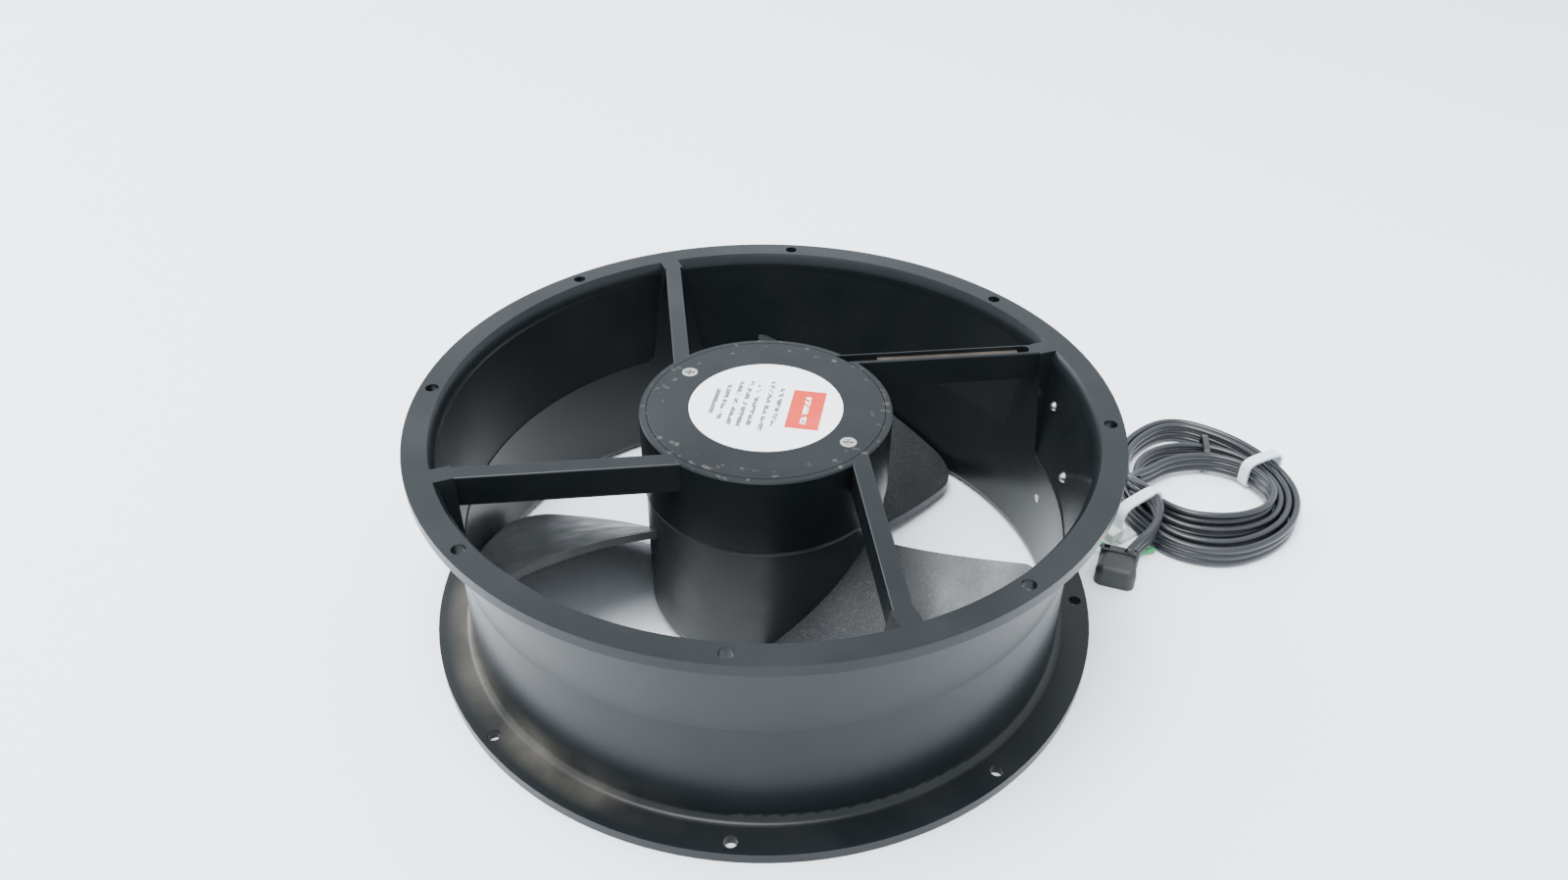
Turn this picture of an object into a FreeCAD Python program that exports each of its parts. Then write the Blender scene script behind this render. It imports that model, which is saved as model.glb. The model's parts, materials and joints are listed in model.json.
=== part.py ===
"""Ten-inch round axial air mover: a cast housing, an external-rotor motor held by four struts, a
three-blade impeller and its flat lead set.

Millimetres. The origin is the centre of the bottom face, +Z points from the outlet to the inlet.
"""

import FreeCAD, Part
import math
import os

from FreeCAD import Vector

# ---- driving dimensions ------------------------------------------------------------------------
FAN_DIAMETER = 254.0  # ten inches over the flanges
FAN_DEPTH = 88.9  # three and a half inches
FLANGE_THICKNESS = 4.0
BOLT_CIRCLE = 244.5
BOLT_COUNT = 8
BOLT_HOLE_DIAMETER = 4.75

THROAT_RADIUS = 111.2
WALL_RADIUS = 113.8  # outside of the barrel at the throat
ROOT_FILLET = 3.0  # outside, between wall and bottom flange
OUTLET_LIP = 4.0  # rounding of the throat at the bottom face
STEP_HEIGHT = 45.0  # the inlet pockets flare out above this
POCKET_TOP_RADIUS = 116.2
INLET_RADIUS = 118.2  # inner edge of the flat top ring
WALL_TOP_RADIUS = 118.9  # outside of the barrel under the top flange

STRUT_COUNT = 4
STRUT_DIRECTION = 11.25  # degrees, of the first strut
STRUT_OFFSET = 28.5  # from the fan's axis to a strut's centreline
STRUT_WIDTH = 6.5
STRUT_DEPTH = 11.5
STRUT_ROUND = 0.7
PAD_ANGLE = 25.9  # where the first strut meets the wall
PAD_TOP_HALF = 3.4
PAD_BOTTOM_HALF = 12.0

CAN_RADIUS = 45.5
CAN_BOTTOM = 58.0
CAN_BORE = 41.5
CAN_FLOOR = 3.0
COVER_RADIUS = 42.8
COVER_THICKNESS = 2.6
COVER_SCREW_RADIUS = 36.0
COVER_SCREW_ANGLES = (147.2, -32.8)
LABEL_RADIUS = 27.7
LABEL_THICKNESS = 0.3

CHANNEL_WIDTH = 4.4
CHANNEL_DEPTH = 6.0
CHANNEL_END = 103.0  # along the strut
LEAD_HOLE_HEIGHT = 80.5
LEAD_HOLE_RADIUS = 2.6
LEAD_RADIUS = 0.8

HUB_RADIUS = 44.5
HUB_BOTTOM = 3.0
HUB_TOP = 57.0
HUB_WALL = 2.4
HUB_ROUND = 3.0
TIP_RADIUS = 109.6
BLADE_COUNT = 3
BLADE_THICKNESS = 3.4  # measured along the axis

SHAFT_RADIUS = 4.0
BEARING_OUTER = 11.0
BEARING_WIDTH = 7.0
BALL_RADIUS = 1.98
BALL_PITCH_RADIUS = 7.5
BALL_COUNT = 7
BALL_CLEARANCE = 0.05
LOWER_BEARING_BOTTOM = 14.5
UPPER_BEARING_BOTTOM = 68.0
TUBE_RADIUS = 13.5
STATOR_RADIUS = 30.5
AIR_GAP = 0.5
POLE_COUNT = 8

BLOCK_SPAN = (5.2, 21.6)  # degrees round the outer wall
BLOCK_HEIGHTS = (48.0, 77.0)
BLOCK_OUTER_RADIUS = 125.5
RIVET_RADIUS = 1.6
EARTH_SCREW_RADIUS = 1.75
BLOCK_RIVETS = ((19.4, 69.7, 115.2), (7.2, 53.5, 112.8))  # degrees, height, inner wall radius
EARTH_ANGLE = 16.0
EARTH_HEIGHT = 30.0
EARTH_BOSS_RADIUS = 115.0

CORD_TUBE_RADIUS = 3.0  # a round section with the area of the 9 by 3 flat cord
EARTH_LEAD_RADIUS = 1.3
COIL_CENTRE = (186.6, 77.7)
COIL_RADII = (41.3, 50.4)
COIL_HOLE_CENTRE = (188.0, 70.9)
COIL_HOLE_RADII = (27.5, 20.5)
COIL_TILT = 4.0
COIL_HEIGHT = 10.0
TIE_THICKNESS = 1.3

# Centrelines of what isn't coiled: x, y, z of each corner of the route.
TAIL_ROUTE = (
    (145.8, 25.0, 6.0),
    (150.5, 31.0, 7.0),
    (157.5, 36.5, 10.0),
    (161.5, 45.0, 13.5),
    (159.8, 54.5, 14.6),
    (154.0, 62.5, 13.6),
    (152.0, 72.0, 9.0),
)
END_ROUTE = (
    (149.0, 66.0, 5.0),
    (143.0, 78.0, 5.0),
    (139.0, 91.0, 5.0),
    (138.5, 104.0, 5.0),
)
EARTH_ROUTE = (
    (114.2, 35.6, 29.5),
    (121.5, 38.5, 23.0),
    (128.5, 36.5, 13.5),
    (135.5, 33.2, 6.0),
    (144.0, 33.0, 2.2),
    (151.5, 33.8, 1.7),
    (159.5, 36.6, 1.6),
)
CONNECTOR_PLACE = (140.6, 17.2)
CONNECTOR_TURN = -15.0
CONNECTOR_SIZE = (14.2, 12.2, 8.8)  # across at the collar, along, high
CONNECTOR_NOSE = 17.0
CONNECTOR_ROUND = 3.4
CONNECTOR_COLLAR = (15.6, 3.0, 9.4)

Z = Vector(0, 0, 1)
ORIGIN = Vector(0, 0, 0)


# ---- helpers -----------------------------------------------------------------------------------
def polar(radius, degrees, z=0.0):
    angle = math.radians(degrees)
    return Vector(radius * math.cos(angle), radius * math.sin(angle), z)


def turned(shape, degrees):
    return shape.rotated(ORIGIN, Z, degrees)


def cylinder(radius, bottom, top, x=0.0, y=0.0):
    return Part.makeCylinder(radius, top - bottom, Vector(x, y, bottom))


def tube(outer, inner, bottom, top):
    return cylinder(outer, bottom, top).cut(cylinder(inner, bottom - 1, top + 1))


def box(x, y, z):
    """A box from its (low, high) span along each axis."""
    return Part.makeBox(x[1] - x[0], y[1] - y[0], z[1] - z[0], Vector(x[0], y[0], z[0]))


def outline(place, start, *steps):
    """A closed wire. A step is the next point, or a pair (point on the arc, end of the arc)."""
    edges, here = [], start
    for step in steps + (start,):
        if isinstance(step[0], tuple):
            middle, end = step
            edges.append(Part.Arc(place(here), place(middle), place(end)).toShape())
        else:
            end = step
            edges.append(Part.LineSegment(place(here), place(end)).toShape())
        here = end
    return Part.Wire(edges)


def lathe(start, *steps):
    """A solid turned about the fan's axis from an outline of (radius, height) points."""
    wire = outline(lambda p: Vector(p[0], 0, p[1]), start, *steps)
    return Part.Face(wire).revolve(ORIGIN, Z, 360)


def prism(wire, direction):
    return Part.Face(wire).extrude(direction)


def radial(shape, degrees, z):
    """Turns a shape built along +X so that it points outwards at that angle and height."""
    return turned(shape.translated(Vector(0, 0, z)), degrees)


def joined(shapes):
    whole = shapes[0]
    return whole.fuse(shapes[1:]).removeSplitter() if len(shapes) > 1 else whole


def vertical_edges(shape, near, reach):
    """The edges parallel to the axis that stand near a point."""
    found = []
    for edge in shape.Edges:
        a, b = edge.Vertexes[0].Point, edge.Vertexes[-1].Point
        upright = abs(a.x - b.x) < 1e-6 and abs(a.y - b.y) < 1e-6 and abs(a.z - b.z) > 1e-3
        if upright and Vector(a.x - near.x, a.y - near.y, 0).Length < reach:
            found.append(edge)
    return found


def route_wire(points, name):
    """Straight runs joined by tangent arcs, each as large as its two runs allow."""
    corners = [Vector(*p) for p in points]
    edges, here, radii = [], corners[0], []
    for before, corner, after in zip(corners, corners[1:], corners[2:]):
        back, ahead = before.sub(corner), after.sub(corner)
        reach = 0.45 * min(back.Length, ahead.Length)
        half_turn = (math.pi - back.getAngle(ahead)) / 2
        radius = reach / math.tan(half_turn)
        radii.append(radius)
        start = corner.add(back.normalize().multiply(reach))
        end = corner.add(ahead.normalize().multiply(reach))
        inwards = start.add(end).multiply(0.5).sub(corner).normalize()
        middle = corner.add(inwards.multiply(radius / math.cos(half_turn) - radius))
        edges.append(Part.LineSegment(here, start).toShape())
        edges.append(Part.Arc(start, middle, end).toShape())
        here = end
    edges.append(Part.LineSegment(here, corners[-1]).toShape())
    print(name, "bend radii", [round(r, 1) for r in radii])
    return Part.Wire(edges)


def swept(points, radius, name):
    """A round tube along a route; prints how its volume compares with section times length."""
    wire = route_wire(points, name)
    start = Vector(*points[0])
    along = Vector(*points[1]).sub(start)
    circle = Part.Wire([Part.Circle(start, along, radius).toShape()])
    solid = wire.makePipeShell([circle], True, True)
    ideal = math.pi * radius**2 * wire.Length
    print(name, "length", round(wire.Length, 1), "volume ratio", round(solid.Volume / ideal, 4))
    return solid


def ring_of(shape, count):
    return [turned(shape, 360.0 * k / count) for k in range(count)]


# ---- housing -----------------------------------------------------------------------------------
def wall_hole(radius, degrees, z):
    drill = Part.makeCylinder(radius, 30, Vector(100, 0, 0), Vector(1, 0, 0))
    return radial(drill, degrees, z)


def outer_wall():
    """The casting's outside, filled solid."""
    flange, foot = FAN_DIAMETER / 2, FLANGE_THICKNESS
    shoulder = FAN_DEPTH - FLANGE_THICKNESS
    bend = ROOT_FILLET * (1 - math.sqrt(0.5))
    return lathe(
        (0, 0),
        (flange, 0),
        (flange, foot),
        (WALL_RADIUS + ROOT_FILLET, foot),
        ((WALL_RADIUS + bend, foot + bend), (WALL_RADIUS, foot + ROOT_FILLET)),
        (WALL_RADIUS, STEP_HEIGHT + 2),
        (WALL_TOP_RADIUS, shoulder - 4),
        (WALL_TOP_RADIUS, shoulder),
        (flange, shoulder),
        (flange, FAN_DEPTH),
        (0, FAN_DEPTH),
    )


def airway():
    """The hollow of the barrel: a plain throat with a rounded outlet lip, and four inlet pockets."""
    bend = OUTLET_LIP * (1 - math.sqrt(0.5))
    throat = lathe(
        (0, -1),
        (THROAT_RADIUS + OUTLET_LIP, -1),
        (THROAT_RADIUS + OUTLET_LIP, 0),
        ((THROAT_RADIUS + bend, bend), (THROAT_RADIUS, OUTLET_LIP)),
        (THROAT_RADIUS, FAN_DEPTH + 1),
        (0, FAN_DEPTH + 1),
    )
    pockets = lathe(
        (0, STEP_HEIGHT),
        (THROAT_RADIUS + 0.4, STEP_HEIGHT),
        ((114.2, 61.0), (POCKET_TOP_RADIUS, FAN_DEPTH - 7)),
        ((116.7, FAN_DEPTH - 2.4), (INLET_RADIUS, FAN_DEPTH)),
        (INLET_RADIUS, FAN_DEPTH + 1),
        (0, FAN_DEPTH + 1),
    )
    pad = prism(
        outline(
            lambda p: Vector(100, p[0], p[1]),
            (-PAD_BOTTOM_HALF - 3, STEP_HEIGHT - 1),
            (PAD_BOTTOM_HALF + 3, STEP_HEIGHT - 1),
            (PAD_BOTTOM_HALF + 3, STEP_HEIGHT),
            ((PAD_BOTTOM_HALF + 0.4, STEP_HEIGHT + 1), (PAD_BOTTOM_HALF - 1, STEP_HEIGHT + 3.2)),
            (PAD_TOP_HALF, FAN_DEPTH + 2),
            (-PAD_TOP_HALF, FAN_DEPTH + 2),
            (1 - PAD_BOTTOM_HALF, STEP_HEIGHT + 3.2),
            ((-PAD_BOTTOM_HALF - 0.4, STEP_HEIGHT + 1), (-PAD_BOTTOM_HALF - 3, STEP_HEIGHT)),
        ),
        Vector(25, 0, 0),
    )
    return throat.fuse(pockets.cut(ring_of(turned(pad, PAD_ANGLE), STRUT_COUNT)))


def housing():
    """The casting's barrel and its two bolting flanges, which share their faces."""
    casting = outer_wall().cut(airway())
    boss = Part.makeCylinder(5.5, EARTH_BOSS_RADIUS - 112.5, Vector(112.5, 0, 0), Vector(1, 0, 0))
    casting = casting.fuse(radial(boss, EARTH_ANGLE, EARTH_HEIGHT))
    hole = cylinder(BOLT_HOLE_DIAMETER / 2, -1, FAN_DEPTH + 1, BOLT_CIRCLE / 2)
    drills = ring_of(hole, BOLT_COUNT)
    drills += [wall_hole(RIVET_RADIUS, angle, z) for angle, z, _ in BLOCK_RIVETS]
    drills.append(wall_hole(LEAD_HOLE_RADIUS, PAD_ANGLE, LEAD_HOLE_HEIGHT))
    drills.append(wall_hole(EARTH_SCREW_RADIUS, EARTH_ANGLE, EARTH_HEIGHT))
    casting = casting.cut(drills)
    foot = cylinder(FAN_DIAMETER, -1, FLANGE_THICKNESS + ROOT_FILLET)
    head = cylinder(FAN_DIAMETER, FAN_DEPTH - FLANGE_THICKNESS, FAN_DEPTH + 1)
    return {
        "barrel": casting.cut([foot, head]),
        "bottom_flange": casting.common(foot),
        "top_flange": casting.common(head),
    }


# ---- struts and motor can ----------------------------------------------------------------------
def along_strut(shape):
    """Places a shape built along +X on the first strut's centreline."""
    return turned(shape.translated(Vector(0, STRUT_OFFSET, 0)), STRUT_DIRECTION)


def strut():
    half = STRUT_WIDTH / 2
    bar = box((30, 125), (-half, half), (FAN_DEPTH - STRUT_DEPTH, FAN_DEPTH))
    top = [e for e in bar.Edges if abs(e.CenterOfMass.z - FAN_DEPTH) < 1e-6 and e.Length > 50]
    bar = along_strut(bar.makeFillet(STRUT_ROUND, top))
    reach = tube(THROAT_RADIUS, CAN_RADIUS - 2, 0, FAN_DEPTH + 1)
    return bar.common(reach)


def lead_channel():
    """The open trough along the first strut that takes the motor leads."""
    half = CHANNEL_WIDTH / 2
    floor = FAN_DEPTH - CHANNEL_DEPTH
    trough = box((24, CHANNEL_END), (-half, half), (floor, FAN_DEPTH + 1))
    end = cylinder(half, floor, FAN_DEPTH + 1, CHANNEL_END)
    start = Vector(CHANNEL_END - 1, 0, 84.2)
    outlet = Part.makeCylinder(2.1, 12, start, Vector(1, 0.08, -0.35))
    return along_strut(trough.fuse([end, outlet])).cut(cylinder(CAN_BORE - 4, 0, 100))


def spider():
    """The motor can with its four struts, cast in one with the barrel."""
    can = lathe(
        (TUBE_RADIUS, CAN_BOTTOM),
        (CAN_RADIUS - 0.8, CAN_BOTTOM),
        (CAN_RADIUS, CAN_BOTTOM + 0.8),
        (CAN_RADIUS, FAN_DEPTH - 0.5),
        (CAN_RADIUS - 0.5, FAN_DEPTH),
        (COVER_RADIUS + 0.25, FAN_DEPTH),
        (COVER_RADIUS + 0.25, FAN_DEPTH - COVER_THICKNESS),
        (CAN_BORE, FAN_DEPTH - COVER_THICKNESS),
        (CAN_BORE, CAN_BOTTOM + CAN_FLOOR),
        (TUBE_RADIUS + 4.5, CAN_BOTTOM + CAN_FLOOR),
        (TUBE_RADIUS + 4.5, CAN_BOTTOM + 11),
        (TUBE_RADIUS, CAN_BOTTOM + 11),
    )
    shapes = [can] + ring_of(strut(), STRUT_COUNT)
    drills = [lead_channel(), cylinder(3.2, 50, 70, 24.0, 22.0)]
    seat = FAN_DEPTH - COVER_THICKNESS
    for angle in COVER_SCREW_ANGLES:
        place = polar(COVER_SCREW_RADIUS, angle)
        shapes.append(cylinder(5.0, CAN_BOTTOM + 1, seat, place.x, place.y))
        drills.append(cylinder(1.4, seat - 12, seat + 1, place.x, place.y))
    return joined(shapes).cut(drills)


def countersunk(place, top, length):
    """A cross-recessed countersunk screw standing head up at a place."""
    head = Part.makeCone(1.4, 2.9, 1.8, Vector(place.x, place.y, top - 1.8))
    shank = cylinder(1.4, top - length, top - 1.8, place.x, place.y)
    slot = box((-1.75, 1.75), (-0.45, 0.45), (top - 1.3, top + 1))
    cross = slot.fuse(slot.rotated(ORIGIN, Z, 90)).translated(Vector(place.x, place.y, 0))
    return head.fuse(shank).cut(cross)


def cover():
    places = [polar(COVER_SCREW_RADIUS, angle) for angle in COVER_SCREW_ANGLES]
    screws = [countersunk(p, FAN_DEPTH, 11) for p in places]
    plate = cylinder(COVER_RADIUS, FAN_DEPTH - COVER_THICKNESS, FAN_DEPTH)
    recess = cylinder(LABEL_RADIUS + 0.2, FAN_DEPTH - LABEL_THICKNESS, FAN_DEPTH + 1)
    drills = [recess]
    for p in places:
        drills.append(Part.makeCone(1.4, 2.9, 1.8, Vector(p.x, p.y, FAN_DEPTH - 1.8)))
        drills.append(cylinder(1.4, FAN_DEPTH - 5, FAN_DEPTH, p.x, p.y))
    return {
        "cover_plate": plate.cut(drills),
        "cover_screws": Part.makeCompound(screws),
        "rating_label": cylinder(LABEL_RADIUS, FAN_DEPTH - LABEL_THICKNESS, FAN_DEPTH),
    }


# ---- stator ------------------------------------------------------------------------------------
def star(bottom, top):
    """One layer of the stator: a yoke with eight poles, each with a curved shoe."""
    yoke = tube(18.0, TUBE_RADIUS, bottom, top)
    pole = box((17.5, 29.0), (-3.5, 3.5), (bottom, top))
    shoe = tube(STATOR_RADIUS, 28.0, bottom, top)
    wedge = prism(
        outline(lambda p: polar(p[0], p[1], bottom), (20, -19), (40, -19), (40, 19), (20, 19)),
        Vector(0, 0, top - bottom),
    )
    poles = ring_of(pole.fuse(shoe.common(wedge)), POLE_COUNT)
    return joined([yoke] + poles)


def stator():
    core_bottom, core_top, end = 19.0, 46.0, 1.0
    coil = box((18.6, 26.9), (-6.2, 6.2), (core_bottom - 4.5, core_top + 4.5))
    coil = coil.makeFillet(1.5, [e for e in coil.Edges if abs(e.CenterOfMass.z - 32.5) > 10])
    slot = box((18, 28.5), (-3.5, 3.5), (core_bottom - end, core_top + end))
    coil = coil.cut(slot)
    ends = [star(core_top, core_top + end), star(core_bottom - end, core_bottom)]
    protector = box((19.0, 28.0), (-7.0, 7.0), (core_top + 4.5, core_top + 8.0))
    return {
        "stator_core": star(core_bottom, core_top),
        "stator_end_insulators": Part.makeCompound(ends),
        "stator_windings": Part.makeCompound(ring_of(coil, POLE_COUNT)),
        "thermal_protector": turned(protector.makeFillet(0.8, protector.Edges), 180),
    }


# ---- bearings, shaft and rotor -----------------------------------------------------------------
def bearing(bottom):
    """The outer race, the inner race, and the caged balls of one deep-groove bearing."""
    middle = bottom + BEARING_WIDTH / 2
    top = bottom + BEARING_WIDTH
    groove = Part.makeTorus(BALL_PITCH_RADIUS, BALL_RADIUS + BALL_CLEARANCE, Vector(0, 0, middle))
    ball = Part.makeSphere(BALL_RADIUS, Vector(BALL_PITCH_RADIUS, 0, middle))
    cage = tube(BALL_PITCH_RADIUS + 0.5, BALL_PITCH_RADIUS - 0.5, middle - 1.2, middle + 1.2)
    return (
        tube(BEARING_OUTER, 9.05, bottom, top).cut(groove),
        tube(5.95, SHAFT_RADIUS, bottom, top).cut(groove),
        cage.fuse(ring_of(ball, BALL_COUNT)),
    )


def bearing_tube():
    lower, upper = LOWER_BEARING_BOTTOM, UPPER_BEARING_BOTTOM
    body = cylinder(TUBE_RADIUS, lower - 1.9, upper + 11)
    bores = [
        cylinder(9.4, lower - 5, upper + 20),
        cylinder(BEARING_OUTER, lower - 5, lower + BEARING_WIDTH),
        cylinder(BEARING_OUTER, upper, upper + 20),
        cylinder(BEARING_OUTER + 0.8, upper + 8.4, upper + 9.4),
    ]
    return body.cut(bores)


def split_ring(outer, inner, bottom, top):
    """An open retaining ring."""
    return tube(outer, inner, bottom, top).cut(box((0, 20), (-1.5, 1.5), (bottom - 1, top + 1)))


def motor_parts():
    lower, upper = LOWER_BEARING_BOTTOM, UPPER_BEARING_BOTTOM
    parts = {"bearing_tube": bearing_tube()}
    for name, bottom in (("lower_bearing", lower), ("upper_bearing", upper)):
        outer, inner, balls = bearing(bottom)
        parts[name + "_outer_race"] = outer
        parts[name + "_inner_race"] = inner
        parts[name + "_balls"] = balls
    ring_bottom = upper + BEARING_WIDTH + 0.1
    groove = tube(10, SHAFT_RADIUS - 0.3, ring_bottom, ring_bottom + 1)
    shaft = cylinder(SHAFT_RADIUS, HUB_BOTTOM + 1, upper + 10.5)
    ends = [e for e in shaft.Edges if len(e.Vertexes) == 1]
    parts["shaft"] = shaft.makeChamfer(0.5, ends).cut(groove)
    parts["shaft_circlip"] = split_ring(6.4, SHAFT_RADIUS - 0.3, ring_bottom, ring_bottom + 1)
    washer_bottom = upper + BEARING_WIDTH
    parts["preload_washer"] = tube(10.8, 8.0, washer_bottom, washer_bottom + 1.3)
    parts["bore_circlip"] = split_ring(BEARING_OUTER + 0.8, 8.4, upper + 8.4, upper + 9.4)
    return parts


def rotor():
    """The steel cup, the laminated ring and its end rings, which turn round the stator."""
    inner = STATOR_RADIUS + AIR_GAP
    shell = HUB_RADIUS - HUB_WALL
    floor = HUB_BOTTOM + 2.5
    cup = lathe(
        (SHAFT_RADIUS, floor),
        (shell, floor),
        (shell, HUB_TOP - 2),
        (shell - 2, HUB_TOP - 2),
        (shell - 2, floor + 2),
        (9.0, floor + 2),
        (9.0, floor + 6.5),
        (SHAFT_RADIUS, floor + 6.5),
    )
    rings = [tube(shell - 2.8, inner + 1.2, z, z + 3) for z in (14.0, 48.0)]
    rivet = cylinder(2.0, HUB_BOTTOM - 0.8, floor + 3.2, 22.0)
    rivet = rivet.fuse(cylinder(3.4, HUB_BOTTOM - 0.8, HUB_BOTTOM, 22.0))
    rivets = ring_of(rivet, 3)
    return {
        "rotor_cup": cup.cut(rivets),
        "rotor_core": tube(shell - 2, inner, 17.0, 48.0),
        "rotor_end_rings": Part.makeCompound(rings),
        "hub_rivets": Part.makeCompound(rivets),
    }


# ---- impeller ----------------------------------------------------------------------------------
def span(radius):
    """0 at the hub, 1 at the tip."""
    return (radius - 45.0) / 63.0


def high_edge(radius):
    return -27.5 + 5.5 * span(radius) ** 2


def low_edge(radius):
    return -86.2 + 9.5 * span(radius)


def blade_height(radius, share):
    """Height of the blade's upper side, from its low edge (share 0) to its high edge (share 1)."""
    u = span(radius)
    low, high = 10.0 - 4.0 * u, 47.5 + 13.0 * u - 4.0 * u**2
    camber = 0.25 - 0.55 * u
    return low + (high - low) * (share + camber * share * (1 - share))


def blade():
    grid = []
    for radius in (40.0, 54.0, 68.0, 82.0, 96.0, 114.0):
        row = []
        for step in range(-1, 10):
            share = step / 8.0
            angle = low_edge(radius) + share * (high_edge(radius) - low_edge(radius))
            row.append(polar(radius, angle, blade_height(radius, share)))
        grid.append(row)
    surface = Part.BSplineSurface()
    surface.interpolate(grid)
    slab = surface.toShape().extrude(Vector(0, 0, -BLADE_THICKNESS))
    root, middle = HUB_RADIUS - 1.2, 77.0
    plan = prism(blade_outline(root, middle), Vector(0, 0, 80))
    for angle, radius in ((low_edge(TIP_RADIUS), 16.0), (high_edge(TIP_RADIUS), 7.0)):
        corner = vertical_edges(plan, polar(TIP_RADIUS, angle), 0.5)
        plan = plan.makeFillet(radius, corner)
    return slab.common(plan)


def blade_outline(root, middle):
    """The blade seen along the axis: two curved edges between the hub and the tip circle."""
    low_root, low_tip = polar(root, low_edge(root), -5), polar(TIP_RADIUS, low_edge(TIP_RADIUS), -5)
    high_root = polar(root, high_edge(root), -5)
    high_tip = polar(TIP_RADIUS, high_edge(TIP_RADIUS), -5)
    centre = (low_edge(TIP_RADIUS) + high_edge(TIP_RADIUS)) / 2
    return Part.Wire(
        [
            Part.Arc(low_root, polar(middle, low_edge(middle), -5), low_tip).toShape(),
            Part.Arc(low_tip, polar(TIP_RADIUS, centre, -5), high_tip).toShape(),
            Part.Arc(high_tip, polar(middle, high_edge(middle), -5), high_root).toShape(),
            Part.Arc(high_root, polar(root, centre, -5), low_root).toShape(),
        ]
    )


def impeller():
    inner = HUB_RADIUS - HUB_WALL
    bend = HUB_ROUND * (1 - math.sqrt(0.5))
    hub = lathe(
        (7.0, HUB_BOTTOM),
        (HUB_RADIUS - HUB_ROUND, HUB_BOTTOM),
        ((HUB_RADIUS - bend, HUB_BOTTOM + bend), (HUB_RADIUS, HUB_BOTTOM + HUB_ROUND)),
        (HUB_RADIUS, HUB_TOP - 0.8),
        (HUB_RADIUS - 0.8, HUB_TOP),
        (inner, HUB_TOP),
        (inner, HUB_BOTTOM + 2.5),
        (7.0, HUB_BOTTOM + 2.5),
    )
    slug = cylinder(4.0, HUB_BOTTOM - 1, HUB_BOTTOM + 1.5)
    slugs = [slug.translated(polar(34.0, angle)) for angle in (70.0, 195.0)]
    rivet = ring_of(cylinder(2.0, 0, 10, 22.0), 3)
    body = joined([hub] + ring_of(blade(), BLADE_COUNT)).cut(slugs + rivet)
    floor = cylinder(HUB_RADIUS, HUB_BOTTOM, HUB_BOTTOM + 5)
    return {
        "impeller": body,
        "balance_slugs": Part.makeCompound([s.common(floor) for s in slugs]),
    }


# ---- wiring on the fan -------------------------------------------------------------------------
def terminal_block(barrel, leads):
    """Outside, under the top flange: a moulded block with two blade terminals pointing down."""
    bottom, top = BLOCK_HEIGHTS
    first, last = BLOCK_SPAN
    sector = Part.makeCylinder(BLOCK_OUTER_RADIUS, top - bottom, Vector(0, 0, bottom), Z, last - first)
    blank = box((119.6, 120.4), (-2.4, 2.4), (bottom - 9, bottom + 6))
    tabs = [turned(blank, (first + last) / 2 + side) for side in (-3.4, 3.4)]
    out = Vector(1, 0, 0)
    holes, rivets = [], []
    for angle, z, wall in BLOCK_RIVETS:
        holes.append(wall_hole(RIVET_RADIUS, angle, z))
        shank = Part.makeCylinder(RIVET_RADIUS, BLOCK_OUTER_RADIUS + 1 - wall, Vector(wall, 0, 0), out)
        inside = Part.makeCone(1.3, 2.3, 1.5, Vector(wall - 1.0, 0, 0), out)
        outside = Part.makeCylinder(3.2, 1.2, Vector(BLOCK_OUTER_RADIUS, 0, 0), out)
        rivet = radial(joined([shank, inside, outside]), angle, z)
        rivets.append(rivet.cut(barrel))
    solid = turned(sector, first).cut(outer_wall())
    return {
        "terminal_block": solid.cut(holes + tabs + [leads]),
        "terminal_blades": Part.makeCompound(tabs),
        "block_rivets": Part.makeCompound(rivets),
    }


def motor_leads():
    """Two insulated leads from the windings, through the can and the trough, to the block."""
    leads = []
    for side in (-1.0, 1.0):
        route = [(24.0 + side, 22.0, 51.8), (24.0 + side, 22.0, 65.0), (25.5 + side, 24.0, 77.0)]
        for along, across, z in ((38, 0.95, 84.6), (60, 1.1, 84.2), (80, 0.85, 84.6), (99, 1.0, 84.1)):
            p = along_strut(Part.Vertex(along, side * across, z)).Point
            route.append((p.x, p.y, p.z))
        for radius, angle, z in ((115.0, 26.3, 80.6), (121.5, 25.0, 79.0), (122.0, 22.8, 73.6)):
            p = polar(radius, angle + 0.45 * side, z)
            route.append((p.x, p.y, p.z))
        end = polar(122.0, 20.9, 70.4 + side)
        route.append((end.x, end.y, end.z))
        leads.append(swept(route, LEAD_RADIUS, "motor lead"))
    return Part.makeCompound(leads)


def trough_sealant(leads):
    """The band of resin that holds the leads down in the trough."""
    half = CHANNEL_WIDTH / 2
    floor = FAN_DEPTH - CHANNEL_DEPTH
    return along_strut(box((46, 101), (-half, half), (floor, floor + 4.3))).cut(leads)


def earth_parts():
    out = Vector(1, 0, 0)
    seat = EARTH_BOSS_RADIUS
    eyelet = Part.makeCylinder(4.2, 0.9, Vector(seat, 0, 0), out)
    tongue = box((seat, seat + 0.9), (-1.6, 1.6), (-9, 0))
    barrel = Part.makeCylinder(2.0, 6.5, Vector(seat + 1.6, 0, -13), Z)
    hole = Part.makeCylinder(EARTH_SCREW_RADIUS, 9, Vector(seat - 4, 0, 0), out)
    head = Part.makeCylinder(3.6, 2.4, Vector(seat + 0.9, 0, 0), out)
    shank = Part.makeCylinder(EARTH_SCREW_RADIUS, seat + 0.9 - 111, Vector(111, 0, 0), out)
    slot = box((seat + 2.1, seat + 5), (-4, 4), (-0.5, 0.5))
    ring = joined([eyelet, tongue, barrel]).cut(hole)
    screw = head.fuse(shank).removeSplitter().cut(slot)
    return {
        "earth_ring_terminal": radial(ring, EARTH_ANGLE, EARTH_HEIGHT),
        "earth_screw": radial(screw, EARTH_ANGLE, EARTH_HEIGHT),
    }


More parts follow.
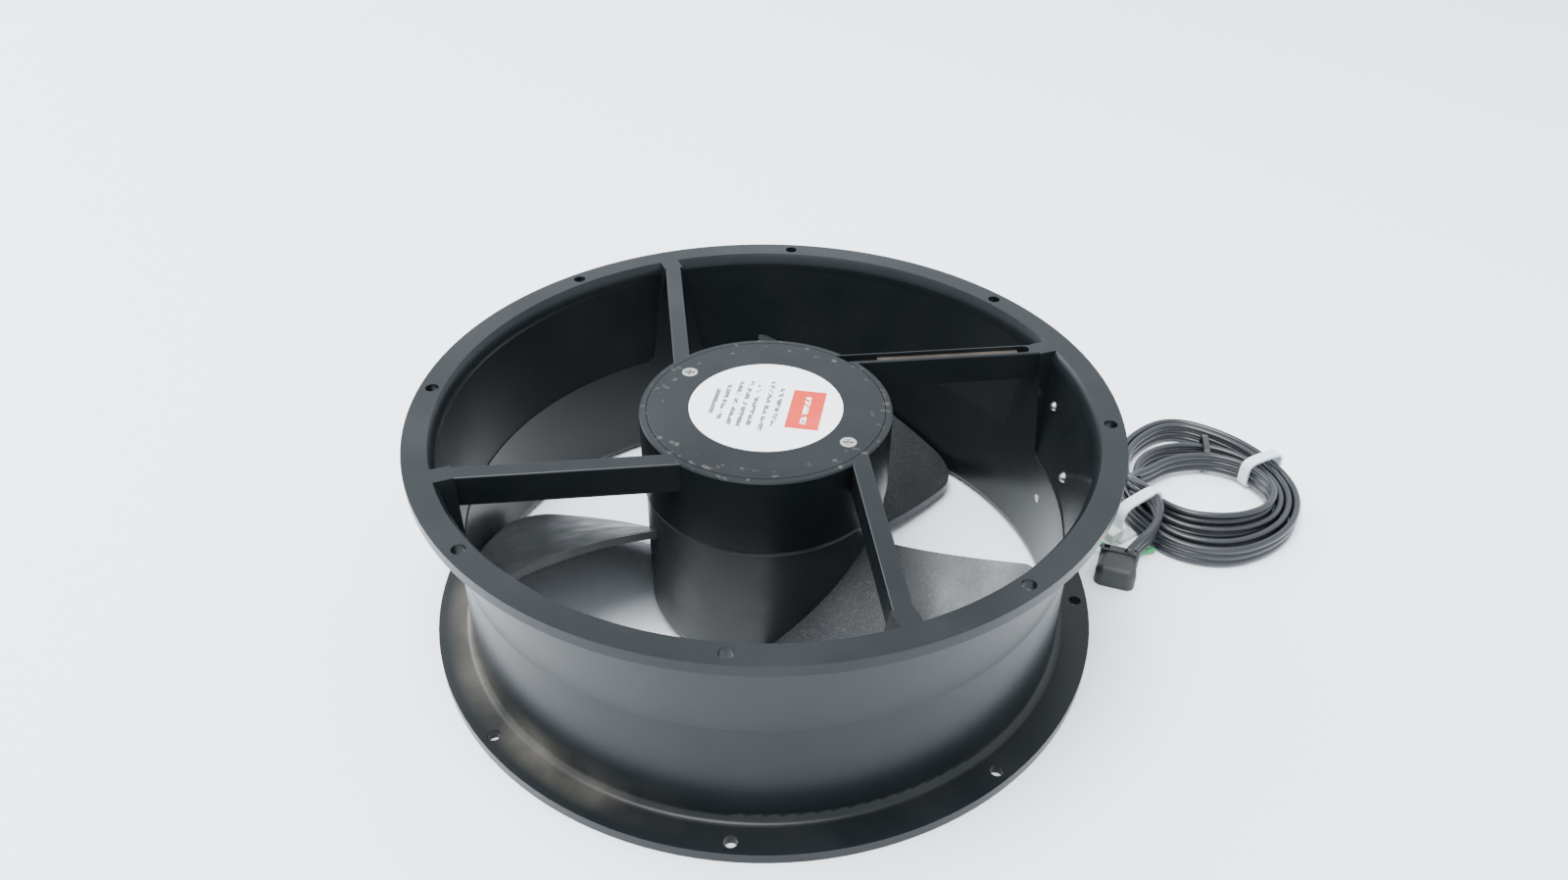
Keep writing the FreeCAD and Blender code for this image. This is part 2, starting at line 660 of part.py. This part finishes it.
# ---- lead set ----------------------------------------------------------------------------------
def ellipse_plate(place, radii, bottom, top):
    """An upright elliptical cylinder, its radii along X and Y before the coil's tilt."""
    centre = Vector(place[0], place[1], bottom)
    long, short = max(radii), min(radii)
    curve = Part.Ellipse(ORIGIN, long, short).toShape()
    upright = 90 if radii[1] > radii[0] else 0
    wire = Part.Wire([curve]).rotated(ORIGIN, Z, upright + COIL_TILT).translated(centre)
    return prism(wire, Vector(0, 0, top - bottom))


def tie(place, turn, length, width, top):
    """A closed strap round the bundle, upright, wrapping it at a place and across a direction."""
    outer = box((-length / 2, length / 2), (-width / 2, width / 2), (0, top))
    outer = outer.makeFillet(2.5, [e for e in outer.Edges if abs(e.Length - width) < 1e-6])
    inner = box(
        (TIE_THICKNESS - length / 2, length / 2 - TIE_THICKNESS),
        (-width, width),
        (TIE_THICKNESS, top - TIE_THICKNESS),
    )
    return outer.cut(inner).rotated(ORIGIN, Z, turn).translated(Vector(place[0], place[1], 0))


def tie_head():
    """The left tie's ratchet head, at the end of its strap nearest the connector."""
    head = box((-4.0, 4.0), (-3.5, 3.5), (4.5, 9.5)).rotated(ORIGIN, Z, 42)
    return head.translated(Vector(141.6, 39.9, 0))


def connector():
    """The moulded two-pole plug for the fan's blade terminals, which enter it from below."""
    across, along, high = CONNECTOR_SIZE
    wide, deep, tall = CONNECTOR_COLLAR
    side, nose = across / 2, CONNECTOR_NOSE / 2
    flat = outline(lambda point: Vector(*point, 0), (-side, 0.0), (-nose, -along), (nose, -along), (side, 0.0))
    body = prism(flat, Vector(0, 0, high))
    rounded = [e for e in body.Edges if e.CenterOfMass.y < -1 and e.CenterOfMass.z > 1]
    body = body.makeFillet(CONNECTOR_ROUND, rounded)
    collar = box((-wide / 2, wide / 2), (-0.5, deep), (0, tall))
    collar = collar.makeFillet(1.5, [e for e in collar.Edges if abs(e.Length - tall) < 1e-6])
    middle = -along / 2
    slots, contacts = [], []
    for side in (-1, 1):
        x, window = side * 3.8, side * 5.4
        slots.append(box((x - 2.6, x + 2.6), (middle - 1.4, middle + 1.4), (-1, 6.6)))
        slots.append(box((window - 1.1, window + 1.1), (0.6, 2.8), (tall - 3, tall + 1)))
        shell = box((x - 2.5, x + 2.5), (middle - 1.3, middle + 1.3), (1, 6.6))
        gap = box((x - 2.1, x + 2.1), (middle - 0.6, middle + 0.6), (0, 5.8))
        contacts.append(shell.cut(gap))
    place = Vector(CONNECTOR_PLACE[0], CONNECTOR_PLACE[1] + 8.0, 0)
    pivot = Vector(CONNECTOR_PLACE[0], CONNECTOR_PLACE[1], 0)

    def placed(shape):
        return shape.translated(place).rotated(pivot, Z, CONNECTOR_TURN)

    return {
        "connector_body": placed(body.fuse(collar).removeSplitter().cut(slots)),
        "connector_contacts": placed(Part.makeCompound(contacts)),
    }


def lead_set():
    """The flat cord, its bundle and ties, the plug on one end and the bare cores on the other."""
    ties = {
        "right_tie": tie((214.7, 91.3), 33.0, 21.8, 4.8, 14.0),
        "left_tie": tie((153.7, 50.0), 42.0, 28.4, 4.8, 19.8).fuse(tie_head()),
        "black_tie": tie((191.7, 102.0), 85.0, 14.4, 2.5, 12.5),
    }
    tail = swept(TAIL_ROUTE, CORD_TUBE_RADIUS, "cord tail")
    end = swept(END_ROUTE, CORD_TUBE_RADIUS, "cord end")
    earth = swept(EARTH_ROUTE, EARTH_LEAD_RADIUS, "earth lead")
    coil = ellipse_plate(COIL_CENTRE, COIL_RADII, 0, COIL_HEIGHT)
    coil = coil.cut(ellipse_plate(COIL_HOLE_CENTRE, COIL_HOLE_RADII, -1, COIL_HEIGHT + 1))
    last, before = Vector(*END_ROUTE[-1]), Vector(*END_ROUTE[-2])
    core = Part.makeCylinder(0.9, 12, last, last.sub(before))
    cores = [core.translated(Vector(0, 0, lift)) for lift in (-2.0, 0, 2.0)]
    parts = dict(ties)
    parts["cord_tail"] = tail
    parts["cord_end"] = end
    parts["cord_coil"] = coil.cut(list(ties.values()) + [tail, end])
    parts["stripped_cores"] = Part.makeCompound(cores)
    parts["earth_lead"] = earth
    plug = connector()
    plug["connector_body"] = plug["connector_body"].cut([tail, earth])
    parts.update(plug)
    return parts


def main():
    os.makedirs("parts", exist_ok=True)
    leads = motor_leads()
    parts = housing()
    parts["barrel"] = parts["barrel"].cut(leads)
    parts.update(terminal_block(parts["barrel"], leads))
    parts["motor_spider"] = spider().cut(leads)
    parts["motor_leads"] = leads
    parts["trough_sealant"] = trough_sealant(leads)
    for group in (cover, stator, motor_parts, rotor, impeller, earth_parts, lead_set):
        parts.update(group())
    for name, shape in parts.items():
        if not (shape.isValid() and shape.Solids and all(s.isClosed() for s in shape.Shells)):
            print("not a closed solid:", name)
        shape.exportStep("parts/" + name + ".step")
    print(len(parts), "nodes")


main()
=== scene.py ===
"""Looks of the ten-inch axial air mover: camera, flat lead set, paints, label print, floor and light."""

import json
import math

import bmesh
import bpy
from mathutils import Matrix, Vector


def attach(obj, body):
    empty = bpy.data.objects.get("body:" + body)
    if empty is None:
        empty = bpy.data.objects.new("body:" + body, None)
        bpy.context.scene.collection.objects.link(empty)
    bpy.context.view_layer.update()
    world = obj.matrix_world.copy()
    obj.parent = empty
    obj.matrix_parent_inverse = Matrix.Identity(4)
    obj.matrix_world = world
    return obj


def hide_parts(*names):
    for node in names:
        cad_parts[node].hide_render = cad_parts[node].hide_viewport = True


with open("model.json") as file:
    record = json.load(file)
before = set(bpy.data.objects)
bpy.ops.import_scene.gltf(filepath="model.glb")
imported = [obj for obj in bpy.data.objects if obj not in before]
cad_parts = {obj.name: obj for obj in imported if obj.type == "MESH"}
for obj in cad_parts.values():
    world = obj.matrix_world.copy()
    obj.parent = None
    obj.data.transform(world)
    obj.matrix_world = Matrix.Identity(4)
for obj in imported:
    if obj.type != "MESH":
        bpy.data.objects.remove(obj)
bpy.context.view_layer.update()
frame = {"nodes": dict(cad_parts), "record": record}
nodes = frame["nodes"]
MM = 0.001

# ---- camera --------------------------------------------------------------------------------------
CAMERA_PLACE = (32.0, -358.9, 334.6)
CAMERA_HEADING = 4.04  # degrees to the left of +Y
CAMERA_PITCH = 35.9  # degrees below level
CAMERA_ROLL = 0.8
CAMERA_LENS = 27.9


def add_camera():
    data = bpy.data.cameras.new("camera")
    data.lens = CAMERA_LENS
    data.clip_start = 0.01
    camera = bpy.data.objects.new("camera", data)
    bpy.context.scene.collection.objects.link(camera)
    turn = Matrix.Rotation(math.radians(CAMERA_HEADING), 4, "Z")
    tilt = Matrix.Rotation(math.radians(90 - CAMERA_PITCH), 4, "X")
    roll = Matrix.Rotation(math.radians(CAMERA_ROLL), 4, "Z")
    camera.matrix_world = Matrix.Translation(Vector(CAMERA_PLACE) * MM) @ turn @ tilt @ roll
    bpy.context.scene.camera = camera


add_camera()

# ---- lead set: routes in millimetres, as in the part's source --------------------------------------
TAIL_ROUTE = (
    (145.8, 25.0, 6.0),
    (150.5, 31.0, 7.0),
    (157.5, 36.5, 10.0),
    (161.5, 45.0, 13.5),
    (159.8, 54.5, 14.6),
    (154.0, 62.5, 13.6),
    (152.0, 72.0, 9.0),
)
END_ROUTE = (
    (149.0, 66.0, 5.0),
    (143.0, 78.0, 5.0),
    (139.0, 91.0, 5.0),
    (138.5, 104.0, 5.0),
)
EARTH_ROUTE = (
    (114.2, 35.6, 29.5),
    (121.5, 38.5, 23.0),
    (128.5, 36.5, 13.5),
    (135.5, 33.2, 6.0),
    (144.0, 33.0, 2.2),
    (151.5, 33.8, 1.7),
    (159.5, 36.6, 1.6),
)
EARTH_LEAD_RADIUS = 1.3
CORD_WIDTH = 9.4
CORD_THICKNESS = 3.0
COIL_CENTRE = (183.4, 71.1)
# The coil's turns, innermost first: distance from its centre every 30 degrees, clockwise from the
# fan's side of the back, and the height of the cord's centreline there.
TURNS = (
    (22.5, 21.5, 22.5, 26.5, 30.0, 32.6, 30.0, 26.0, 24.0, 24.5, 24.0, 25.0),
    (29.0, 32.0, 33.5, 35.5, 36.5, 36.2, 33.7, 29.8, 28.0, 28.6, 28.4, 29.0),
    (34.0, 41.5, 51.5, 45.0, 40.8, 39.7, 37.3, 35.5, 36.5, 36.5, 33.0, 32.5),
    (37.5, 45.0, 55.0, 48.5, 44.3, 43.2, 41.0, 40.3, 42.3, 41.8, 36.8, 36.0),
)
INNER_HEIGHTS = (7.0, 6.5, 6.5, 6.5, 7.0, 8.0, 9.0, 9.5, 9.5, 9.0, 8.0, 6.5)
OTHER_HEIGHT = 5.0


def coil_route():
    points = []
    for number, radii in enumerate(TURNS):
        for step, radius in enumerate(radii):
            heading = math.radians(150 - 30 * step + CAMERA_HEADING)
            x = COIL_CENTRE[0] + radius * math.cos(heading)
            y = COIL_CENTRE[1] + radius * math.sin(heading)
            points.append((x, y, OTHER_HEIGHT if number else INNER_HEIGHTS[step]))
    return points


def nurbs(name, points, radius=0.0):
    data = bpy.data.curves.new(name, "CURVE")
    data.dimensions = "3D"
    data.resolution_u = 10
    data.bevel_depth = radius * MM
    data.bevel_resolution = 6
    spline = data.splines.new("NURBS")
    spline.points.add(len(points) - 1)
    for target, point in zip(spline.points, points):
        target.co = (*(Vector(point) * MM), 1)
    spline.order_u = 3
    spline.use_endpoint_u = True
    curve = bpy.data.objects.new(name, data)
    bpy.context.scene.collection.objects.link(curve)
    return curve


def line_of(curve):
    """The points along a bare curve, in order."""
    mesh = bpy.data.meshes.new_from_object(curve)
    points = [v.co.copy() for v in mesh.vertices]
    bpy.data.meshes.remove(mesh)
    return points


def add_mesh(name, vertices, faces, smooth=True):
    mesh = bpy.data.meshes.new(name)
    mesh.from_pydata([tuple(v) for v in vertices], [], faces)
    mesh.validate()
    mesh.update()
    for face in mesh.polygons:
        face.use_smooth = smooth
    thing = bpy.data.objects.new(name, mesh)
    bpy.context.scene.collection.objects.link(thing)
    return thing


def flat_cord_profile():
    """Three joined cores side by side: (across the thickness, along the width), in metres."""
    pitch = (CORD_WIDTH - CORD_THICKNESS) / 2
    lobe_half = 1.55  # a little over half the pitch, so that the grooves stay shallow
    side = []
    for lobe in (-1, 0, 1):
        for step in range(-4, 5):
            angle = math.radians(step * 18)
            side.append((CORD_THICKNESS / 2 * math.cos(angle), lobe * pitch + lobe_half * math.sin(angle)))
    other = [(-a, b) for a, b in reversed(side)]
    return [(a * MM, b * MM) for a, b in side + other]


def sweep(name, path, profile, up=Vector((0, 0, 1))):
    """Carries a closed profile along a path, its width kept as upright as the path allows."""
    vertices, faces, count = [], [], len(profile)
    for index, point in enumerate(path):
        ahead = path[min(index + 1, len(path) - 1)] - path[max(index - 1, 0)]
        ahead.normalize()
        side = ahead.cross(up).normalized()
        rise = side.cross(ahead)
        vertices += [point + side * a + rise * b for a, b in profile]
    for ring in range(len(path) - 1):
        for k in range(count):
            a, b = ring * count + k, ring * count + (k + 1) % count
            faces.append((a, b, b + count, a + count))
    faces.append(tuple(range(count))[::-1])
    faces.append(tuple(range(len(vertices) - count, len(vertices))))
    return add_mesh(name, vertices, faces)


def length_of(path):
    return sum((b - a).length for a, b in zip(path, path[1:]))


guide = nurbs("cord_guide", list(TAIL_ROUTE) + coil_route() + list(END_ROUTE[1:]))
cord_path = line_of(guide)
bpy.data.objects.remove(guide)
flat_cord = sweep("flat_cord", cord_path, flat_cord_profile())
earth_guide = nurbs("earth_guide", EARTH_ROUTE)
earth_length = length_of(line_of(earth_guide))
bpy.data.objects.remove(earth_guide)
earth_wire = nurbs("earth_wire", EARTH_ROUTE, EARTH_LEAD_RADIUS)

# ---- materials -----------------------------------------------------------------------------------


BUMP_DEPTH = 0.0002


class Paint:
    """A procedural material on the object's own coordinates, which are the row frame in metres."""

    def __init__(self, name, color, roughness, metallic=0.0, specular=0.5):
        self.material = bpy.data.materials.new(name)
        self.material.use_nodes = True
        self.tree = self.material.node_tree
        self.shader = self.tree.nodes["Principled BSDF"]
        self.shader.inputs["Roughness"].default_value = roughness
        self.shader.inputs["Metallic"].default_value = metallic
        self.shader.inputs["Specular IOR Level"].default_value = specular
        self.coords = self.tree.nodes.new("ShaderNodeTexCoord").outputs["Object"]
        self.color = self.value(color)

    def value(self, color):
        node = self.tree.nodes.new("ShaderNodeRGB")
        node.outputs[0].default_value = (*color, 1)
        return node.outputs[0]

    def noise(self, scale, low, high, detail=4.0, coords=None):
        """Noise turned into a mask that is 0 below low and 1 above high."""
        noise = self.tree.nodes.new("ShaderNodeTexNoise")
        noise.inputs["Scale"].default_value = scale
        noise.inputs["Detail"].default_value = detail
        self.tree.links.new(coords or self.coords, noise.inputs["Vector"])
        return self.ramp(noise.outputs["Fac"], low, high)

    def ramp(self, value, low, high):
        node = self.tree.nodes.new("ShaderNodeMapRange")
        node.inputs["From Min"].default_value = low
        node.inputs["From Max"].default_value = high
        self.tree.links.new(value, node.inputs["Value"])
        return node.outputs["Result"]

    def math(self, operation, a, b):
        node = self.tree.nodes.new("ShaderNodeMath")
        node.operation = operation
        for socket, value in zip(node.inputs, (a, b)):
            if isinstance(value, (int, float)):
                socket.default_value = value
            else:
                self.tree.links.new(value, socket)
        return node.outputs[0]

    def times(self, *masks):
        product = masks[0]
        for mask in masks[1:]:
            product = self.math("MULTIPLY", product, mask)
        return product

    def axes(self, source=None):
        node = self.tree.nodes.new("ShaderNodeSeparateXYZ")
        self.tree.links.new(source or self.coords, node.inputs[0])
        return node.outputs

    def upward(self):
        geometry = self.tree.nodes.new("ShaderNodeNewGeometry")
        return self.ramp(self.axes(geometry.outputs["Normal"])[2], 0.55, 0.95)

    def between(self, value, low, high):
        return self.times(self.math("GREATER_THAN", value, low), self.math("LESS_THAN", value, high))

    def cover(self, mask, color):
        """Lays a colour over the present one where the mask is 1."""
        mix = self.tree.nodes.new("ShaderNodeMix")
        mix.data_type = "RGBA"
        self.tree.links.new(mask, mix.inputs["Factor"])
        self.tree.links.new(self.color, mix.inputs["A"])
        mix.inputs["B"].default_value = (*color, 1)
        self.color = mix.outputs["Result"]

    def rough(self, mask, low, high):
        node = self.tree.nodes.new("ShaderNodeMapRange")
        node.inputs["To Min"].default_value = low
        node.inputs["To Max"].default_value = high
        self.tree.links.new(mask, node.inputs["Value"])
        self.tree.links.new(node.outputs["Result"], self.shader.inputs["Roughness"])

    def bump(self, scale, strength):
        """Shallow relief: strength is the share of BUMP_DEPTH."""
        noise = self.tree.nodes.new("ShaderNodeTexNoise")
        noise.inputs["Scale"].default_value = scale
        self.tree.links.new(self.coords, noise.inputs["Vector"])
        node = self.tree.nodes.new("ShaderNodeBump")
        node.inputs["Strength"].default_value = strength
        node.inputs["Distance"].default_value = BUMP_DEPTH
        self.tree.links.new(noise.outputs["Fac"], node.inputs["Height"])
        self.tree.links.new(node.outputs["Normal"], self.shader.inputs["Normal"])

    def done(self):
        self.tree.links.new(self.color, self.shader.inputs["Base Color"])
        return self.material


DUST = (0.30, 0.27, 0.22)


def casting_paint():
    """Satin black paint with dust in the bottom flange's corner."""
    paint = Paint("casting_paint", (0.0060, 0.0078, 0.0090), 0.3, 0.0, 0.22)
    paint.cover(paint.noise(40, 0.45, 0.8), (0.0098, 0.0116, 0.0130))
    x, y, z = paint.axes()
    radius = paint.math("POWER", paint.math("ADD", paint.times(x, x), paint.times(y, y)), 0.5)
    left = paint.ramp(paint.math("ADD", x, paint.math("MULTIPLY", y, 0.35)), -0.055, -0.100)
    low = paint.ramp(z, 0.016, 0.004)
    by_wall = paint.ramp(radius, 0.1245, 0.1175)
    outside = paint.ramp(radius, 0.1125, 0.1135)
    faint = paint.math("ADD", paint.math("MULTIPLY", left, 0.26), 0.006)
    dust = paint.times(low, by_wall, outside, faint, paint.noise(38, 0.30, 0.62))
    paint.cover(dust, DUST)
    film = paint.times(paint.upward(), paint.noise(18, 0.42, 0.8), 0.02)
    paint.cover(film, (0.35, 0.36, 0.37))
    rim = paint.times(paint.between(radius, 0.037, 0.0455), paint.upward(), paint.noise(300, 0.60, 0.80))
    paint.cover(paint.times(rim, 0.30), DUST)
    return paint.done()


def impeller_paint():
    """Dark grey paint with fine dust specks, thicker in some places than in others."""
    paint = Paint("impeller_paint", (0.0115, 0.0135, 0.0150), 0.36, 0.0, 0.32)
    paint.cover(paint.noise(25, 0.35, 0.8), (0.024, 0.026, 0.029))
    film = paint.times(paint.upward(), paint.noise(16, 0.3, 0.75), 0.05)
    paint.cover(film, (0.42, 0.43, 0.44))
    specks = paint.times(paint.noise(1500, 0.55, 0.68, 2.0), paint.noise(22, 0.35, 0.62), paint.upward())
    paint.cover(paint.times(specks, 0.20), (0.34, 0.345, 0.34))
    paint.rough(paint.noise(70, 0.3, 0.7), 0.28, 0.46)
    paint.bump(1000, 0.06)
    return paint.done()


def label_paper():
    """White paper with an orange-red block and rows of grey marks in place of any lettering."""
    paint = Paint("label_paper", (0.84, 0.875, 0.92), 0.4)
    turn = paint.tree.nodes.new("ShaderNodeMapping")
    turn.inputs["Rotation"].default_value = (0, 0, math.radians(5))
    paint.tree.links.new(paint.coords, turn.inputs["Vector"])
    x, y, _ = paint.axes(turn.outputs[0])
    block = paint.times(paint.between(x, 0.0085, 0.0205), paint.between(y, -0.012, 0.012))
    paint.cover(block, (0.58, 0.022, 0.003))
    pale = paint.times(paint.between(x, 0.0135, 0.0155), paint.between(y, -0.009, 0.009))
    paint.cover(paint.times(pale, paint.noise(700, 0.45, 0.5, 1.0)), (0.8, 0.8, 0.8))
    for row, (start, half) in enumerate(((-0.0195, 8), (-0.016, 11), (-0.012, 14), (-0.0085, 15),
                                         (-0.005, 13), (-0.0005, 16), (0.0035, 12))):
        line = paint.times(paint.between(x, start, start + 0.0016), paint.between(y, -half * MM, half * MM))
        words = paint.noise(420 + 37 * row, 0.43, 0.46, 1.0)
        paint.cover(paint.times(line, words, 0.9), (0.05, 0.055, 0.065))
    paint.cover(paint.times(paint.noise(70, 0.5, 0.8), 0.12), (0.66, 0.66, 0.64))
    return paint.done()


def plain(name, color, roughness, metallic=0.0, bump=0.0, spots=None):
    paint = Paint(name, color, roughness, metallic)
    if spots:
        paint.cover(paint.noise(80, 0.45, 0.75), spots)
    if bump:
        paint.bump(900, bump)
    return paint.done()


LOOKS = {
    "casting": casting_paint(),
    "cover": casting_paint(),
    "screw_steel": plain("screw_steel", (0.55, 0.55, 0.54), 0.32, 1.0, 0.05, (0.4, 0.39, 0.36)),
    "label": label_paper(),
    "lamination": plain("lamination", (0.25, 0.25, 0.27), 0.45, 1.0, 0.1),
    "insulator": plain("insulator", (0.72, 0.70, 0.62), 0.5),
    "winding": plain("winding", (0.45, 0.17, 0.06), 0.35, 0.6, 0.3, (0.35, 0.12, 0.04)),
    "protector": plain("protector", (0.05, 0.05, 0.06), 0.4),
    "tube_alloy": plain("tube_alloy", (0.6, 0.6, 0.61), 0.35, 1.0, 0.05),
    "bearing_steel": plain("bearing_steel", (0.65, 0.65, 0.66), 0.15, 1.0),
    "shaft_steel": plain("shaft_steel", (0.58, 0.58, 0.59), 0.25, 1.0, 0.03),
    "spring_steel": plain("spring_steel", (0.16, 0.17, 0.2), 0.35, 1.0),
    "rotor_steel": plain("rotor_steel", (0.35, 0.35, 0.36), 0.4, 1.0, 0.08),
    "impeller": impeller_paint(),
    "block": plain("block", (0.02, 0.02, 0.022), 0.45, 0.0, 0.1),
    "terminal": plain("terminal", (0.68, 0.66, 0.6), 0.3, 1.0, 0.05),
    "motor_lead": plain("motor_lead", (0.09, 0.055, 0.035), 0.6, 0.0, 0.2, (0.17, 0.14, 0.1)),
    "sealant": plain("sealant", (0.035, 0.027, 0.021), 0.6, 0.0, 0.5, (0.085, 0.068, 0.052)),
    "cord_jacket": plain("cord_jacket", (0.014, 0.016, 0.019), 0.3, 0.0, 0.03, (0.019, 0.021, 0.024)),
    "core_copper": plain("core_copper", (0.62, 0.30, 0.14), 0.35, 1.0, 0.3),
    "earth_green": plain("earth_green", (0.015, 0.25, 0.07), 0.35, 0.0, 0.03),
    "connector": plain("connector", (0.016, 0.0175, 0.017), 0.55, 0.0, 0.12, (0.024, 0.025, 0.025)),
    "tie_white": plain("tie_white", (0.62, 0.68, 0.72), 0.35, 0.0, 0.03, (0.7, 0.73, 0.75)),
    "tie_head": plain("tie_head", (0.62, 0.62, 0.58), 0.45, 0.0, 0.05, (0.52, 0.50, 0.44)),
    "tie_black": plain("tie_black", (0.015, 0.015, 0.016), 0.4),
}

slot_of = {part["node"]: part["material_slot"] for part in frame["record"]["subparts"]}
for name, thing in nodes.items():
    thing.data.materials.clear()
    thing.data.materials.append(LOOKS[slot_of[name]])


def dress(thing, slot, body, *replaced):
    thing.data.materials.append(LOOKS[slot])
    if replaced:
        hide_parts(*replaced)
    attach(thing, body)
    return thing


# ---- ties ----------------------------------------------------------------------------------------
STRAP_STEPS = 48
STRAP_SQUARENESS = 0.5  # 1 gives an ellipse, 0 a rectangle


def squared(value):
    return math.copysign(abs(value) ** STRAP_SQUARENESS, value)


def strap(name, place, turn, half_length, height, width, thickness):
    """A flat strap drawn round the bundle: a closed loop in an upright plane, sizes in millimetres."""
    path = []
    for step in range(STRAP_STEPS):
        angle = 2 * math.pi * step / STRAP_STEPS
        across = squared(math.cos(angle)) * half_length
        path.append((across, height / 2 + squared(math.sin(angle)) * height / 2))
    heading = math.radians(turn)
    along = Vector((math.cos(heading), math.sin(heading), 0))
    side = Vector((-along.y, along.x, 0))
    vertices, faces = [], []
    count = len(path)
    for k in range(count):
        following, before = path[(k + 1) % count], path[k - 1]
        ahead = Vector((following[0] - before[0], following[1] - before[1]))
        ahead.normalize()
        out = Vector((ahead.y, -ahead.x))
        for a, b in ((0, -1), (0, 1), (-thickness, 1), (-thickness, -1)):
            flat = path[k][0] + out.x * a
            rise = path[k][1] + out.y * a
            spot = Vector((*place, 0)) + along * flat + side * (b * width / 2)
            vertices.append(Vector((spot.x, spot.y, rise)) * MM)
        for c in range(4):
            d = (c + 1) % 4
            after = (k + 1) % count
            faces.append((4 * k + c, 4 * k + d, 4 * after + d, 4 * after + c))
    return add_mesh(name, vertices, faces, smooth=False)


def block(name, place, size, turn, bevel):
    """A box with rounded edges."""
    mesh = bpy.data.meshes.new(name)
    shape = bmesh.new()
    bmesh.ops.create_cube(shape, size=1.0)
    bmesh.ops.scale(shape, vec=Vector(size) * MM, verts=shape.verts)
    bmesh.ops.bevel(shape, geom=shape.edges[:], offset=bevel * MM, segments=3, affect="EDGES", profile=0.5)
    heading = Matrix.Rotation(math.radians(turn), 3, "Z")
    bmesh.ops.rotate(shape, cent=(0, 0, 0), matrix=heading, verts=shape.verts)
    bmesh.ops.translate(shape, vec=Vector(place) * MM, verts=shape.verts)
    shape.to_mesh(mesh)
    shape.free()
    thing = bpy.data.objects.new(name, mesh)
    bpy.context.scene.collection.objects.link(thing)
    return thing


ties = [
    dress(strap("tie_right", (214.7, 91.3), 33.0, 10.8, 13.9, 4.8, 1.2), "tie_white", "frame", "right_tie"),
    dress(strap("tie_left", (152.8, 49.2), 42.0, 13.0, 19.7, 4.8, 1.2), "tie_white", "frame", "left_tie"),
    dress(strap("tie_middle", (191.7, 102.0), 85.0, 7.8, 12.6, 2.4, 0.9), "tie_black", "frame", "black_tie"),
    dress(block("tie_head", (141.6, 39.9, 7.0), (8.0, 7.0, 5.0), 42.0, 0.8), "tie_head", "frame"),
]

dress(flat_cord, "cord_jacket", "frame", "cord_tail", "cord_end", "cord_coil")
dress(earth_wire, "earth_green", "frame", "earth_lead")

# ---- floor and light -------------------------------------------------------------------------------
FLOOR_HALF = 2.6
FLOOR_LEVEL = -0.0002  # just under the fan's lower face
floor = add_mesh(
    "floor",
    [Vector((x * FLOOR_HALF, y * FLOOR_HALF, FLOOR_LEVEL)) for x, y in ((-1, -1), (1, -1), (1, 1), (-1, 1))],
    [(0, 1, 2, 3)],
)
floor_look = Paint("floor_look", (0.93, 0.965, 1.0), 0.6, 0.0, 0.3)
floor.data.materials.append(floor_look.done())


def area_light(name, place, target, size, power, color):
    data = bpy.data.lights.new(name, "AREA")
    data.size = size
    data.energy = power
    data.color = color
    light = bpy.data.objects.new(name, data)
    bpy.context.scene.collection.objects.link(light)
    light.location = place
    light.rotation_euler = (Vector(target) - Vector(place)).to_track_quat("-Z", "Y").to_euler()


area_light("key", (-0.25, -0.35, 1.9), (0.03, 0, 0.03), 1.1, 82.0, (0.98, 0.99, 1.0))
area_light("fill", (-1.3, 0.9, 0.9), (0, 0, 0.04), 0.8, 22.0, (0.95, 0.97, 1.0))

world = bpy.data.worlds.new("world")
bpy.context.scene.world = world
world.use_nodes = True
world.node_tree.nodes["Background"].inputs["Color"].default_value = (0.87, 0.935, 1.0, 1)
world.node_tree.nodes["Background"].inputs["Strength"].default_value = 2.1
